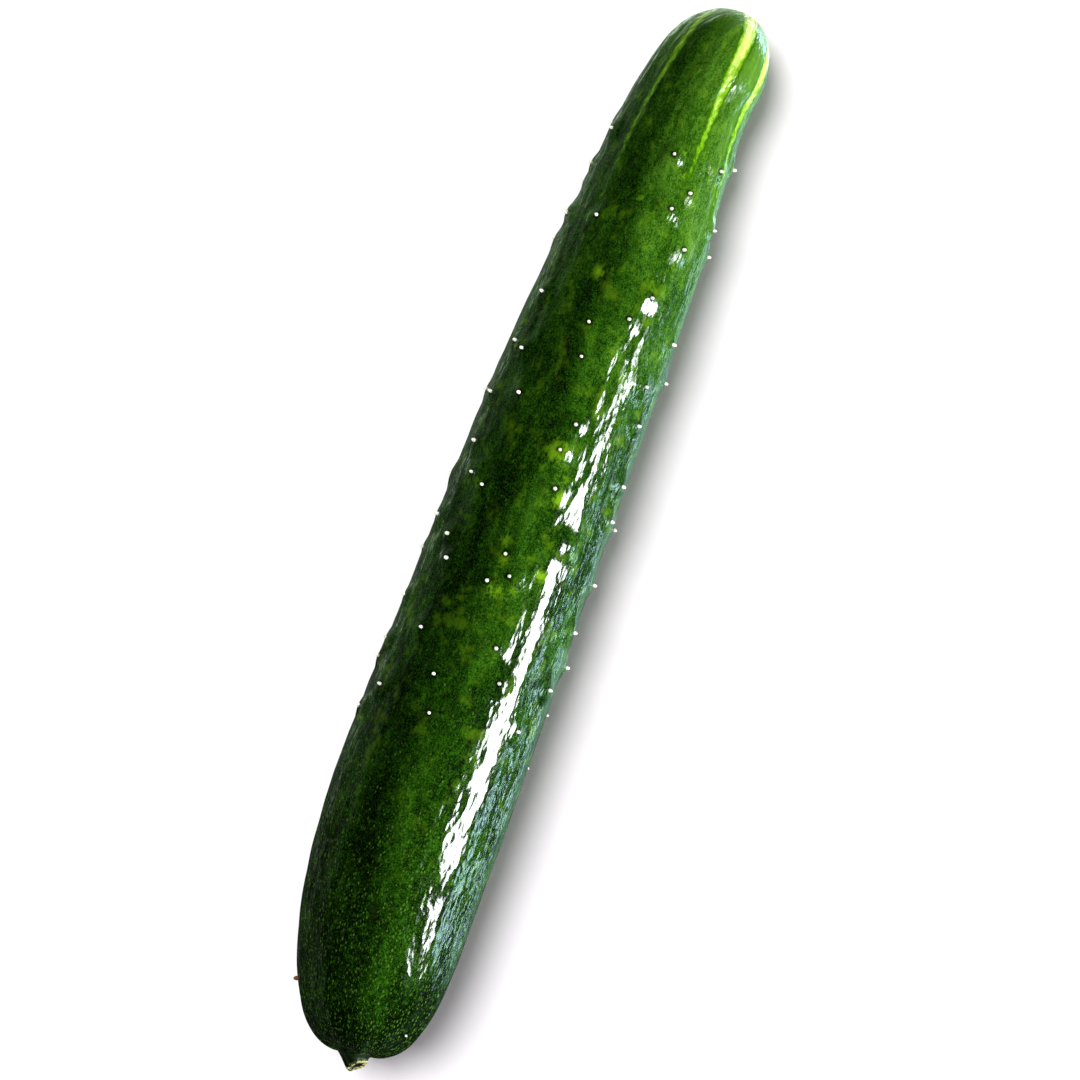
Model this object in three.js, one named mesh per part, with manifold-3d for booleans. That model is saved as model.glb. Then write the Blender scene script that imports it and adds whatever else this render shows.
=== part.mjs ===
// A dark green cucumber as picked, lying on its side, with the short stub of its stalk still on.
// The fruit is one solid: plain girth, blunt shoulder, rounded blossom end, faint ribs, warts and prickles.
// The stalk stub is its own solid and sits in a shallow seat in the fruit's stem end.
// Millimetres. +X runs along the fruit towards the blossom end, +Z is up, and the origin is on the
// surface that the fruit lies on, below the middle of its box.

import * as THREE from "three";
import { mergeVertices } from "three/addons/utils/BufferGeometryUtils.js";
import Module from "manifold-3d";

const wasm = await Module();
wasm.setup();

// Where the fruit's flesh begins and ends along X.
const STEM_END = -107.2;
const BLOSSOM_END = 108.7;

// Radius of the fruit at places along X, before its two ends round off.
const GIRTH = [
  [STEM_END, 17.95],
  [-76, 17.45],
  [-54, 17.75],
  [-14, 16.8],
  [24, 15.95],
  [50, 14.85],
  [78, 12.55],
  [95, 11.15],
  [BLOSSOM_END, 10.7],
];

// Each end rounds off over a length, and a higher power makes it blunter.
const SHOULDER = { length: 43, power: 3.2 };
const TIP = { length: 13, power: 2 };

// How far the centreline stands aside, along Y: both ends curl towards -Y, the blossom end sharply.
const CURL = [
  [STEM_END, -5.6],
  [-90, -2.95],
  [-76, -1.15],
  [-60, -0.25],
  [-30, -0.1],
  [25, -0.15],
  [60, -1],
  [82, -1.25],
  [95, -2.8],
  [BLOSSOM_END, -6.85],
];

// The underside is pressed flat by its own weight at one spot, and rises in a parabola towards both ends.
const REST_X = -8;
const REST_DEPTH = 0.35;
const BELLY_RISE = 0.00026;

// Relief of the skin: three carpels, ten ribs, furrows where the shoulder meets the stalk, a blossom scar.
const CARPELS = { count: 3, height: 0.16, turn: 0.35 };
const RIBS = { count: 10, height: 0.07 };
const FURROWS = { count: 5, height: 0.42, fade: 7, innerRadius: 5 };
const SCAR = { rim: 1.9, rimWidth: 0.6, rimHeight: 0.2, pit: 1.2, pitDepth: 0.35 };
const RELIEF_FADE = 20;

// Warts stand in rings that are turned against each other, with a seeded jitter.
const WARTS = {
  seed: 24110,
  rings: 14,
  firstRing: -41,
  pitch: 9.2,
  perRing: 9,
  jitterAlong: 3.6,
  jitterAround: 0.34,
  height: [0.4, 0.75],
  radius: [3.1, 4.3],
  sparseFrom: 42,
  keep: 0.95,
  keepSparse: 0.62,
  bareBelly: 0.62,
};

// Prickles: one on each wart, and a few alone on the smooth shoulder, each as [X, degrees from the top].
const PRICKLE = { radius: 0.5, height: 0.75, root: 0.6, sides: 6 };
const LONE_PRICKLES = [
  [-95.5, -85],
  [-101.7, 51],
];

// The stalk stub: a ridged neck that flares into the fruit, bends towards -Y and up, and is cut across.
const STUB = {
  neckRadius: 1.95,
  flare: 1.75,
  flareLength: 1.1,
  length: 2.7,
  rootDepth: 1.1,
  ridges: 5,
  ridgeShare: 0.09,
  lean: 30,
  rise: 24,
  pithShare: 0.62,
  pithTaper: 0.9,
  pithDepth: 0.45,
  rings: 5,
  sides: 30,
};
const SEAT_GAP = 0.3;

// The slab that trims the underside, larger than the fruit all round.
const TABLE = { length: 300, width: 100, depth: 20 };

// How finely the fruit is faceted.
const SIDES = 54;
const STATION_GAP = 2.9;
const END_GAP = 0.75;
const GAP_GROWTH = 0.3;
const PROFILE_STEPS = 4000;

const clamp01 = (v) => Math.min(1, Math.max(0, v));
const smooth01 = (v) => clamp01(v) ** 2 * (3 - 2 * clamp01(v));

// A smooth curve through [x, value] stations: cubic pieces with matching slopes.
function through(stations, x) {
  const last = stations.length - 1;
  const slope = (i) => {
    const [x0, v0] = stations[Math.max(0, i - 1)];
    const [x1, v1] = stations[Math.min(last, i + 1)];
    return (v1 - v0) / (x1 - x0);
  };
  let i = 0;
  while (i < last - 1 && x > stations[i + 1][0]) i++;
  const [xa, va] = stations[i];
  const [xb, vb] = stations[i + 1];
  const span = xb - xa;
  const t = clamp01((x - xa) / span);
  return (
    va * (1 + 2 * t) * (1 - t) ** 2 +
    slope(i) * span * t * (1 - t) ** 2 +
    vb * t * t * (3 - 2 * t) +
    slope(i + 1) * span * t * t * (t - 1)
  );
}

// The share of the full radius that is left at a distance from an end.
function rounding({ length, power }, distance) {
  const t = 1 - clamp01(distance / length);
  return (1 - t * t) ** (1 / power);
}

function radiusAt(x) {
  const stemShare = rounding(SHOULDER, x - STEM_END);
  const blossomShare = rounding(TIP, BLOSSOM_END - x);
  return through(GIRTH, x) * stemShare * blossomShare;
}

// The fruit's centreline, with the underside's rise already in its height.
function centreAt(x) {
  const lift = BELLY_RISE * (x - REST_X) ** 2 - REST_DEPTH;
  return new THREE.Vector3(x, through(CURL, x), through(GIRTH, x) + lift);
}

// The centreline's point and its three directions at x: along, sideways (+Y) and up.
function frameAt(x) {
  const step = 0.05;
  const x0 = Math.max(STEM_END, x - step);
  const x1 = Math.min(BLOSSOM_END, x + step);
  const chord = centreAt(x1).sub(centreAt(x0));
  const swell = (radiusAt(x1) - radiusAt(x0)) / chord.length();
  const along = chord.normalize();
  const side = new THREE.Vector3(-along.y, along.x, 0).normalize();
  const up = new THREE.Vector3().crossVectors(along, side);
  return { centre: centreAt(x), along, side, up, swell };
}

// The ribs, carpels, shoulder furrows and blossom scar, as a height over the plain skin.
function ribRelief(x, angle) {
  const fromStem = x - STEM_END;
  const radius = radiusAt(x);
  const flank = smooth01(fromStem / RELIEF_FADE) * smooth01((BLOSSOM_END - x) / RELIEF_FADE);
  const carpels = CARPELS.height * Math.cos(CARPELS.count * (angle - CARPELS.turn)) * flank;
  const ribs = RIBS.height * Math.cos(RIBS.count * angle) * clamp01(radius / FURROWS.innerRadius);
  const nearStalk = Math.exp(-fromStem / FURROWS.fade) * smooth01(radius / FURROWS.innerRadius);
  const furrows = FURROWS.height * Math.cos(FURROWS.count * angle) * nearStalk;
  const atTip = x > 0 ? 1 : 0;
  const rim = SCAR.rimHeight * Math.exp(-(((radius - SCAR.rim) / SCAR.rimWidth) ** 2));
  const pit = SCAR.pitDepth * Math.exp(-((radius / SCAR.pit) ** 2));
  return carpels + ribs + furrows + atTip * (rim - pit);
}

// A repeatable stream of numbers from 0 to 1.
function seededRandom(seed) {
  let state = seed >>> 0;
  return () => {
    state = (Math.imul(state, 1664525) + 1013904223) >>> 0;
    return state / 2 ** 32;
  };
}

// Every wart: where it stands (x, and an angle from the top towards -Y), its height and its radius.
function growWarts() {
  const random = seededRandom(WARTS.seed);
  const between = ([low, high]) => low + (high - low) * random();
  const grown = [];
  for (let ring = 0; ring < WARTS.rings; ring++) {
    for (let k = 0; k < WARTS.perRing; k++) {
      const turn = ((k + (ring % 2) / 2) * 2 * Math.PI) / WARTS.perRing;
      const x = WARTS.firstRing + ring * WARTS.pitch + WARTS.jitterAlong * (2 * random() - 1);
      const angle = turn + WARTS.jitterAround * (2 * random() - 1);
      const height = between(WARTS.height);
      const radius = between(WARTS.radius);
      const kept = random() < (x > WARTS.sparseFrom ? WARTS.keepSparse : WARTS.keep);
      const fromBelow = Math.PI - Math.abs(wrapped(angle));
      if (kept && fromBelow > WARTS.bareBelly) grown.push({ x, angle, height, radius });
    }
  }
  return grown;
}

// An angle brought into the half turn either side of the top.
function wrapped(angle) {
  return angle - 2 * Math.PI * Math.round(angle / (2 * Math.PI));
}

// The warts' height at a place on the skin: each is a low round mound.
function wartRelief(warts, x, angle) {
  const girth = radiusAt(x);
  return warts.reduce((sum, wart) => {
    const along = (x - wart.x) / wart.radius;
    const around = (girth * wrapped(angle - wart.angle)) / wart.radius;
    const inside = Math.max(0, 1 - along * along - around * around);
    return sum + wart.height * inside * inside;
  }, 0);
}

// A point of the skin, and the direction that the plain skin faces there.
function skinAt(warts, x, angle) {
  const { centre, along, side, up, swell } = frameAt(x);
  const outward = up.clone().multiplyScalar(Math.cos(angle)).addScaledVector(side, -Math.sin(angle));
  const normal = outward.clone().addScaledVector(along, -swell).normalize();
  const height = ribRelief(x, angle) + wartRelief(warts, x, angle);
  const point = centre.addScaledVector(outward, radiusAt(x)).addScaledVector(normal, height);
  return { point, normal };
}

// Places along X that are evenly spaced over the skin, and closer together at the two ends.
function stations() {
  const xs = [];
  for (let i = 0; i <= PROFILE_STEPS; i++) {
    const t = (1 - Math.cos((Math.PI * i) / PROFILE_STEPS)) / 2;
    xs.push(STEM_END + (BLOSSOM_END - STEM_END) * t);
  }
  const walked = [0];
  for (let i = 1; i < xs.length; i++) {
    const rise = radiusAt(xs[i]) - radiusAt(xs[i - 1]);
    walked.push(walked[i - 1] + Math.hypot(xs[i] - xs[i - 1], rise));
  }
  const whole = walked[PROFILE_STEPS];
  const steps = [0];
  for (let i = 1; i < xs.length; i++) {
    const fromEnd = Math.min(walked[i], whole - walked[i]);
    const gap = Math.min(STATION_GAP, END_GAP + GAP_GROWTH * fromEnd);
    steps.push(steps[i - 1] + (walked[i] - walked[i - 1]) / gap);
  }
  const count = Math.round(steps[PROFILE_STEPS]);
  const found = [];
  for (let i = 0, k = 1; i < xs.length && k < count; i++) {
    if (steps[i] >= (k * steps[PROFILE_STEPS]) / count) {
      found.push(xs[i]);
      k++;
    }
  }
  return found;
}

// A closed surface through rings of points and a pole at each end. Seen from the first pole's side,
// each ring runs anticlockwise, so that the faces look outwards.
function ringSolid(rings, firstPole, lastPole) {
  const sides = rings[0].length;
  const points = [firstPole, ...rings.flat(), lastPole];
  const at = (ring, k) => 1 + ring * sides + (k % sides);
  const faces = [];
  const face = (a, b, c) => faces.push(a, c, b);
  for (let k = 0; k < sides; k++) {
    face(0, at(0, k), at(0, k + 1));
    face(points.length - 1, at(rings.length - 1, k + 1), at(rings.length - 1, k));
    for (let ring = 0; ring + 1 < rings.length; ring++) {
      // Odd rings are turned by half a side, so the diagonals alternate.
      const a = at(ring, k);
      const b = at(ring, k + 1);
      const c = at(ring + 1, k);
      const d = at(ring + 1, k + 1);
      if (ring % 2 === 0) {
        face(a, c, b);
        face(b, c, d);
      } else {
        face(a, c, d);
        face(a, d, b);
      }
    }
  }
  const geometry = new THREE.BufferGeometry().setFromPoints(points);
  geometry.setIndex(faces);
  return geometry;
}

function toSolid(geometry) {
  const bare = new THREE.BufferGeometry().setAttribute("position", geometry.getAttribute("position").clone());
  bare.setIndex(geometry.index);
  const merged = mergeVertices(bare, 1e-4);
  const vertProperties = new Float32Array(merged.attributes.position.array);
  const triVerts = new Uint32Array(merged.index.array);
  return new wasm.Manifold(new wasm.Mesh({ numProp: 3, vertProperties, triVerts }));
}

function toGeometry(solid) {
  const { vertProperties, triVerts } = solid.getMesh();
  const geometry = new THREE.BufferGeometry();
  geometry.setAttribute("position", new THREE.BufferAttribute(vertProperties, 3));
  geometry.setIndex(new THREE.BufferAttribute(triVerts, 1));
  geometry.computeVertexNormals();
  return geometry;
}

// The fruit's skin as a lattice of rings, each turned by half a side against the last.
function fruitBody(warts) {
  const rings = stations().map((x, ring) =>
    Array.from({ length: SIDES }, (_, k) => {
      const angle = ((k + (ring % 2) / 2) * 2 * Math.PI) / SIDES;
      return skinAt(warts, x, angle).point;
    }),
  );
  const stemPole = skinAt(warts, STEM_END, 0).point;
  const blossomPole = skinAt(warts, BLOSSOM_END, 0).point;
  return toSolid(ringSolid(rings, stemPole, blossomPole));
}

// A prickle: a small cone that stands square on the skin, with its root sunk in.
function prickle(warts, x, angle) {
  const { point, normal } = skinAt(warts, x, angle);
  const cone = new THREE.ConeGeometry(PRICKLE.radius, PRICKLE.height + PRICKLE.root, PRICKLE.sides);
  cone.translate(0, (PRICKLE.height - PRICKLE.root) / 2, 0);
  const turn = new THREE.Quaternion().setFromUnitVectors(new THREE.Vector3(0, 1, 0), normal);
  cone.applyQuaternion(turn);
  cone.translate(...point);
  return toSolid(cone);
}

// The stalk stub, grown by a gap all round where it is used to cut its own seat.
function stubSolid(gap) {
  const { centre, along, side, up } = frameAt(STEM_END);
  const out = along.clone().negate();
  const lean = THREE.MathUtils.degToRad(STUB.lean);
  const rise = THREE.MathUtils.degToRad(STUB.rise);
  const bend = (direction, share) =>
    direction.clone().applyAxisAngle(up, lean * share).applyAxisAngle(side, rise * share);
  const ring = (middle, share, radius, ridged) =>
    Array.from({ length: STUB.sides }, (_, k) => {
      const angle = (k * 2 * Math.PI) / STUB.sides;
      const reach = radius * (1 + ridged * Math.cos(STUB.ridges * angle));
      return middle
        .clone()
        .addScaledVector(bend(up, share), reach * Math.cos(angle))
        .addScaledVector(bend(side, share), reach * Math.sin(angle));
    });
  const radiusAfter = (way) => STUB.neckRadius + STUB.flare * Math.exp(-way / STUB.flareLength) + gap;
  const foot = centre.clone().addScaledVector(out, -STUB.rootDepth - gap);
  const rings = [ring(foot, 0, radiusAfter(0), STUB.ridgeShare)];
  const stride = STUB.length / (STUB.rings - 1);
  const middle = centre.clone();
  for (let i = 0; i < STUB.rings; i++) {
    const share = i / (STUB.rings - 1);
    if (i > 0) middle.addScaledVector(bend(out, share), stride);
    rings.push(ring(middle, share, radiusAfter(i * stride), STUB.ridgeShare));
  }
  const pithRadius = STUB.neckRadius * STUB.pithShare;
  const pithMiddle = middle.clone().addScaledVector(bend(out, 1), -STUB.pithDepth);
  rings.push(ring(middle, 1, pithRadius + gap, 0));
  rings.push(ring(pithMiddle, 1, pithRadius * STUB.pithTaper + gap, 0));
  return toSolid(ringSolid(rings, foot, pithMiddle));
}

// The table that presses the underside flat, as a slab with its top at Z 0.
function tableSlab() {
  const { length, width, depth } = TABLE;
  const slab = new THREE.BoxGeometry(length, width, depth);
  slab.translate(0, 0, -depth / 2);
  return toSolid(slab);
}

const warts = growWarts();
const prickles = [
  ...warts.map(({ x, angle }) => prickle(warts, x, angle)),
  ...LONE_PRICKLES.map(([x, degrees]) => prickle(warts, x, THREE.MathUtils.degToRad(degrees))),
];
const fruitSolid = prickles
  .reduce((whole, one) => whole.add(one), fruitBody(warts))
  .subtract(stubSolid(SEAT_GAP))
  .subtract(tableSlab());

const skin = new THREE.MeshStandardMaterial({ color: 0x1f4a12, roughness: 0.28, metalness: 0 });
const stalk = new THREE.MeshStandardMaterial({ color: 0x39502a, roughness: 0.6, metalness: 0 });

const fruit = new THREE.Mesh(toGeometry(fruitSolid), skin);
fruit.name = "fruit";
const stub = new THREE.Mesh(toGeometry(stubSolid(0)), stalk);
stub.name = "stalk_stub";

// The fruit and its stub move together until their box stands over the origin.
const cucumber = new THREE.Group();
cucumber.name = "cucumber";
cucumber.add(fruit, stub);
const box = new THREE.Box3().setFromObject(cucumber, true);
const middle = box.getCenter(new THREE.Vector3());
cucumber.position.set(-middle.x, -middle.y, 0);

export default cucumber;
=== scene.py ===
"""A dark green cucumber lying on its side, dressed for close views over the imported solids.

The fine skin, the prickles and the stalk stub are grown from the same formulas as the solids that they
stand for. Lengths are in millimetres until a mesh is made. Angles run round the fruit, in radians from
its top towards -Y.
"""

import logging
import math
from dataclasses import dataclass, field
from enum import Enum
from typing import ClassVar

import bpy
import numpy as np
from mathutils import Matrix, Vector


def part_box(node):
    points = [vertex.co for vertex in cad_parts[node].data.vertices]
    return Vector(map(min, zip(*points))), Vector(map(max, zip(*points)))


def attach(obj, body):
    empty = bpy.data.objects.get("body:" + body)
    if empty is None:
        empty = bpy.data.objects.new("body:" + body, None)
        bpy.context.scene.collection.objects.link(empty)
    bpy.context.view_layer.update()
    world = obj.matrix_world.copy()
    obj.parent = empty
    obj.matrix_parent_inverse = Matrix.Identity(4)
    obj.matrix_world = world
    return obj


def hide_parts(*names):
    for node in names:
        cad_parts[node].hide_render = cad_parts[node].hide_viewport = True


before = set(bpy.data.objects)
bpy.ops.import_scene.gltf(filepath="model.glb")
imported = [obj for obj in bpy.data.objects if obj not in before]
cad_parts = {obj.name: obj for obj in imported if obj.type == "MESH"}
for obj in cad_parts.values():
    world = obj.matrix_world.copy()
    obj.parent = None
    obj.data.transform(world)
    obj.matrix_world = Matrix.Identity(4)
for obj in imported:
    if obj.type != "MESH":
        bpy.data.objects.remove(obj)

MM = 0.001
LOG = logging.getLogger("cucumber")

# The draw that the solids use too: state * factor + step, within the limit.
DRAW_FACTOR = 1664525
DRAW_STEP = 1013904223
DRAW_LIMIT = 2**32

# A pin is a socket of a shader node, and a feed is what may go into one. A display colour is 0 to 255 a
# channel, and stations are pairs of x and value.
Array = np.ndarray
Piece = bpy.types.Object
Pin = bpy.types.NodeSocket
Feed = Pin | float
Faces = list[tuple[int, ...]]
Range = tuple[float, float]
Stations = tuple[Range, ...]
Triple = tuple[float, float, float]
Colour = tuple[float, float, float, float]
Display = tuple[int, int, int]


class Slot(Enum):
    """The material slots that the record names."""

    SKIN = "skin"
    STALK = "stalk"


class Mark(Enum):
    """What the meshes tell their materials, point by point."""

    PLACE = "place"
    SHOULDER = "shoulder"
    PALE = "pale"
    # Painted shade round the prickles' feet.
    PAINTED_PRICKLE_SHADE = "pit"
    STRIPE = "stripe"
    # The tone, with painted light on the top and the side towards the window.
    TONE_AND_PAINTED_LIGHT = "tone"
    DRY = "dry"
    RIM = "rim"
    PITH = "pith"


def linear(display: Display) -> Colour:
    """A display colour as the linear colour that shaders take.

    Args:
        display: Red, green and blue.

    Returns:
        Linear red, green, blue and full alpha.
    """

    def channel(value: int) -> float:
        """One channel from display to linear."""
        share = value / 255
        return share / 12.92 if share <= 0.04045 else ((share + 0.055) / 1.055) ** 2.4

    return *(channel(value) for value in display), 1.0


def smooth_share(value: Array) -> Array:
    """An S-shaped rise from 0 to 1 as the value goes from 0 to 1."""
    t = np.clip(value, 0, 1)
    return t * t * (3 - 2 * t)


def rise(value: Array | float, ends: Range) -> Array:
    """A smooth rise from 0 to 1 as a value goes from one end of a range to the other."""
    start, end = ends
    return smooth_share((value - start) / (end - start))


def wrapped(angle: Array) -> Array:
    """Angles brought into the half turn on either side of the top."""
    return angle - 2 * np.pi * np.round(angle / (2 * np.pi))


def through(stations: Stations, x: Array) -> Array:
    """A smooth curve through stations, by cubic pieces with matching slopes.

    Args:
        stations: Pairs of x and value, in rising x.
        x: Where the curve is wanted.

    Returns:
        The curve's value at each x.
    """
    at, value = np.array(stations).T
    slope = np.empty_like(value)
    slope[1:-1] = (value[2:] - value[:-2]) / (at[2:] - at[:-2])
    slope[0] = (value[1] - value[0]) / (at[1] - at[0])
    slope[-1] = (value[-1] - value[-2]) / (at[-1] - at[-2])
    i = np.clip(np.searchsorted(at, x, side="left") - 1, 0, len(at) - 2)
    span = at[i + 1] - at[i]
    t = np.clip((x - at[i]) / span, 0, 1)
    return (
        value[i] * (1 + 2 * t) * (1 - t) ** 2
        + slope[i] * span * t * (1 - t) ** 2
        + value[i + 1] * t * t * (3 - 2 * t)
        + slope[i + 1] * span * t * t * (t - 1)
    )


@dataclass(frozen=True)
class EndRounding:
    """How one end of the fruit rounds off: over what length, and how bluntly."""

    length: float
    power: float

    def share(self, distance: Array) -> Array:
        """The share of the full radius that is left at a distance from the end."""
        t = 1 - np.clip(distance / self.length, 0, 1)
        return (1 - t * t) ** (1 / self.power)


@dataclass(frozen=True)
class FruitForm:
    """The fruit's plain shape: its girth, its curl, its ribs and how it lies."""

    stem_end: float = -107.2
    blossom_end: float = 108.7
    girth: Stations = (
        (-107.2, 17.95), (-76, 17.45), (-54, 17.75), (-14, 16.8), (24, 15.95),
        (50, 14.85), (78, 12.55), (95, 11.15), (108.7, 10.7),
    )
    curl: Stations = (
        (-107.2, -5.6), (-90, -2.95), (-76, -1.15), (-60, -0.25), (-30, -0.1),
        (25, -0.15), (60, -1), (82, -1.25), (95, -2.8), (108.7, -6.85),
    )
    shoulder: EndRounding = EndRounding(43, 3.2)
    tip: EndRounding = EndRounding(13, 2)
    rest_x: float = -8
    rest_depth: float = 0.35
    belly_rise: float = 0.00026
    carpel_count: int = 3
    carpel_height: float = 0.16
    carpel_turn: float = 0.35
    rib_count: int = 10
    rib_height: float = 0.07
    furrow_count: int = 5
    furrow_height: float = 0.42
    furrow_fade: float = 7
    furrow_inner_radius: float = 5
    relief_fade: float = 20
    scar_rim: float = 1.9
    scar_rim_width: float = 0.6
    scar_rim_height: float = 0.2
    scar_pit: float = 1.2
    scar_pit_depth: float = 0.35

    def radius(self, x: Array) -> Array:
        """The fruit's radius at x, ends included."""
        rounding = self.shoulder.share(x - self.stem_end) * self.tip.share(self.blossom_end - x)
        return through(self.girth, x) * rounding

    def centre(self, x: Array) -> Array:
        """The centreline's points at x, as rows of x, y and z."""
        lift = self.belly_rise * (x - self.rest_x) ** 2 - self.rest_depth
        return np.stack([x, through(self.curl, x), through(self.girth, x) + lift], axis=-1)

    def axes(self, x: Array) -> tuple[Array, Array, Array, Array]:
        """The centreline's directions at x.

        Args:
            x: Places along the fruit.

        Returns:
            The directions along it, to its +Y side and up, and how fast its radius grows along it.
        """
        step = 0.05
        before = np.maximum(self.stem_end, x - step)
        after = np.minimum(self.blossom_end, x + step)
        chord = self.centre(after) - self.centre(before)
        length = np.linalg.norm(chord, axis=-1, keepdims=True)
        along = chord / length
        side = np.stack([-along[..., 1], along[..., 0], np.zeros_like(x)], axis=-1)
        side /= np.linalg.norm(side, axis=-1, keepdims=True)
        up = np.cross(along, side)
        swell = (self.radius(after) - self.radius(before)) / length[..., 0]
        return along, side, up, swell

    def ribs(self, x: Array, angle: Array) -> Array:
        """The height of carpels, ribs, shoulder furrows and blossom scar over the plain skin.

        Args:
            x: Places along the fruit.
            angle: Angles round it.

        Returns:
            The height at each place, in millimetres.
        """
        from_stem = x - self.stem_end
        radius = self.radius(x)
        flank = smooth_share(from_stem / self.relief_fade)
        flank = flank * smooth_share((self.blossom_end - x) / self.relief_fade)
        carpels = self.carpel_height * np.cos(self.carpel_count * (angle - self.carpel_turn)) * flank
        inner = np.clip(radius / self.furrow_inner_radius, 0, 1)
        ribs = self.rib_height * np.cos(self.rib_count * angle) * inner
        near_stalk = np.exp(-from_stem / self.furrow_fade) * smooth_share(inner)
        furrows = self.furrow_height * np.cos(self.furrow_count * angle) * near_stalk
        rim = self.scar_rim_height * np.exp(-(((radius - self.scar_rim) / self.scar_rim_width) ** 2))
        pit = self.scar_pit_depth * np.exp(-((radius / self.scar_pit) ** 2))
        return carpels + ribs + furrows + np.where(x > 0, rim - pit, 0)

    def points(self, x: Array, angle: Array, height: Array) -> tuple[Array, Array]:
        """Places on the skin.

        Args:
            x: Places along the fruit.
            angle: Angles round it.
            height: How far each point stands over the plain skin.

        Returns:
            The points, and the direction that the plain skin faces at each.
        """
        along, side, up, swell = self.axes(x)
        outward = up * np.cos(angle)[..., None] - side * np.sin(angle)[..., None]
        normal = outward - along * swell[..., None]
        normal /= np.linalg.norm(normal, axis=-1, keepdims=True)
        plain = self.centre(x) + outward * self.radius(x)[..., None]
        return plain + normal * height[..., None], normal

    def walk(self, steps: int = 6000) -> tuple[Array, Array]:
        """A walk over the skin from end to end.

        Args:
            steps: How many steps it takes.

        Returns:
            The places along the fruit, and the way walked to each.
        """
        t = (1 - np.cos(np.linspace(0, np.pi, steps + 1))) / 2
        x = self.stem_end + (self.blossom_end - self.stem_end) * t
        strides = np.hypot(np.diff(x), np.diff(self.radius(x)))
        return x, np.concatenate([[0], np.cumsum(strides)])


@dataclass(frozen=True)
class WartField:
    """Where the warts and prickles stand: rings turned against each other, with a seeded jitter."""

    seed: int = 24110
    rings: int = 14
    first_ring: float = -41
    pitch: float = 9.2
    per_ring: int = 9
    jitter_along: float = 3.6
    jitter_around: float = 0.34
    height: Range = (0.4, 0.75)
    radius: Range = (3.1, 4.3)
    sparse_from: float = 42
    keep: float = 0.95
    keep_sparse: float = 0.62
    bare_belly: float = 0.62
    lone_prickles: Stations = ((-95.5, -85), (-101.7, 51))

    def warts(self) -> Array:
        """Every wart, drawn as the solids draw them.

        Returns:
            Rows of x, angle, height and radius.
        """
        state = self.seed

        def draw() -> float:
            """Draws the next number.

            Returns:
                A number from 0 to 1.
            """
            nonlocal state
            state = (state * DRAW_FACTOR + DRAW_STEP) % DRAW_LIMIT
            return state / DRAW_LIMIT

        grown = []
        for ring in range(self.rings):
            for k in range(self.per_ring):
                turn = (k + (ring % 2) / 2) * 2 * math.pi / self.per_ring
                x = self.first_ring + ring * self.pitch + self.jitter_along * (2 * draw() - 1)
                angle = turn + self.jitter_around * (2 * draw() - 1)
                height = self.height[0] + (self.height[1] - self.height[0]) * draw()
                radius = self.radius[0] + (self.radius[1] - self.radius[0]) * draw()
                kept = draw() < (self.keep_sparse if x > self.sparse_from else self.keep)
                from_below = math.pi - abs(float(wrapped(np.array(angle))))
                if kept and from_below > self.bare_belly:
                    grown.append((x, angle, height, radius))
        return np.array(grown)

    def prickles(self) -> Array:
        """Rows of x and angle for every prickle: those on warts, then the lone ones."""
        lone = [(x, math.radians(degrees)) for x, degrees in self.lone_prickles]
        return np.concatenate([self.warts()[:, :2], np.array(lone)])

    def relief(self, form: FruitForm, x: Array, angle: Array) -> Array:
        """The warts' height over the plain skin, each a low round mound.

        Args:
            form: The fruit's shape.
            x: Places along the fruit.
            angle: Angles round it.

        Returns:
            The height at each place.
        """
        total = np.zeros_like(x)
        girth = form.radius(x)
        for wart_x, wart_angle, height, radius in self.warts():
            along = (x - wart_x) / radius
            around = girth * wrapped(angle - wart_angle) / radius
            total += height * np.clip(1 - along**2 - around**2, 0, None) ** 2
        return total


def distance_on_skin(form: FruitForm, x: Array, angle: Array, at_x: float, at_angle: float) -> Array:
    """How far each place on the skin is from one place, measured along and round the fruit."""
    return np.hypot(x - at_x, form.radius(x) * wrapped(angle - at_angle))


@dataclass(frozen=True)
class Creases:
    """Long shallow creases of the skin, as seeded waves that run almost along the fruit."""

    seed: int = 11
    count: int = 60
    around: tuple[int, int] = (9, 50)
    along_per_mm: float = 0.8
    height: float = 0.02
    strength: Range = (0.4, 1.0)
    end_radius: float = 9

    def relief(self, form: FruitForm, x: Array, angle: Array) -> Array:
        """The creases' height over the plain skin.

        Args:
            form: The fruit's shape.
            x: Places along the fruit.
            angle: Angles round it.

        Returns:
            The height at each place.
        """
        draw = np.random.default_rng(self.seed)
        total = np.zeros_like(x)
        for _ in range(self.count):
            waves = int(draw.integers(*self.around))
            lean = draw.uniform(-self.along_per_mm, self.along_per_mm)
            phase = draw.uniform(0, 2 * np.pi)
            swing = draw.uniform(*self.strength) * self.height * (self.around[0] / waves) ** 0.5
            total += swing * np.sin(waves * angle + lean * x + phase)
        return total * smooth_share(form.radius(x) / self.end_radius)


@dataclass(frozen=True)
class Stripe:
    """A pale stripe that runs from the blossom end and fades out on the way."""

    degrees: float
    width: float
    reach: float
    strength: float


@dataclass(frozen=True)
class Patch:
    """A soft pale patch in the skin's colour."""

    x: float
    degrees: float
    radius: float
    strength: float


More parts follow.
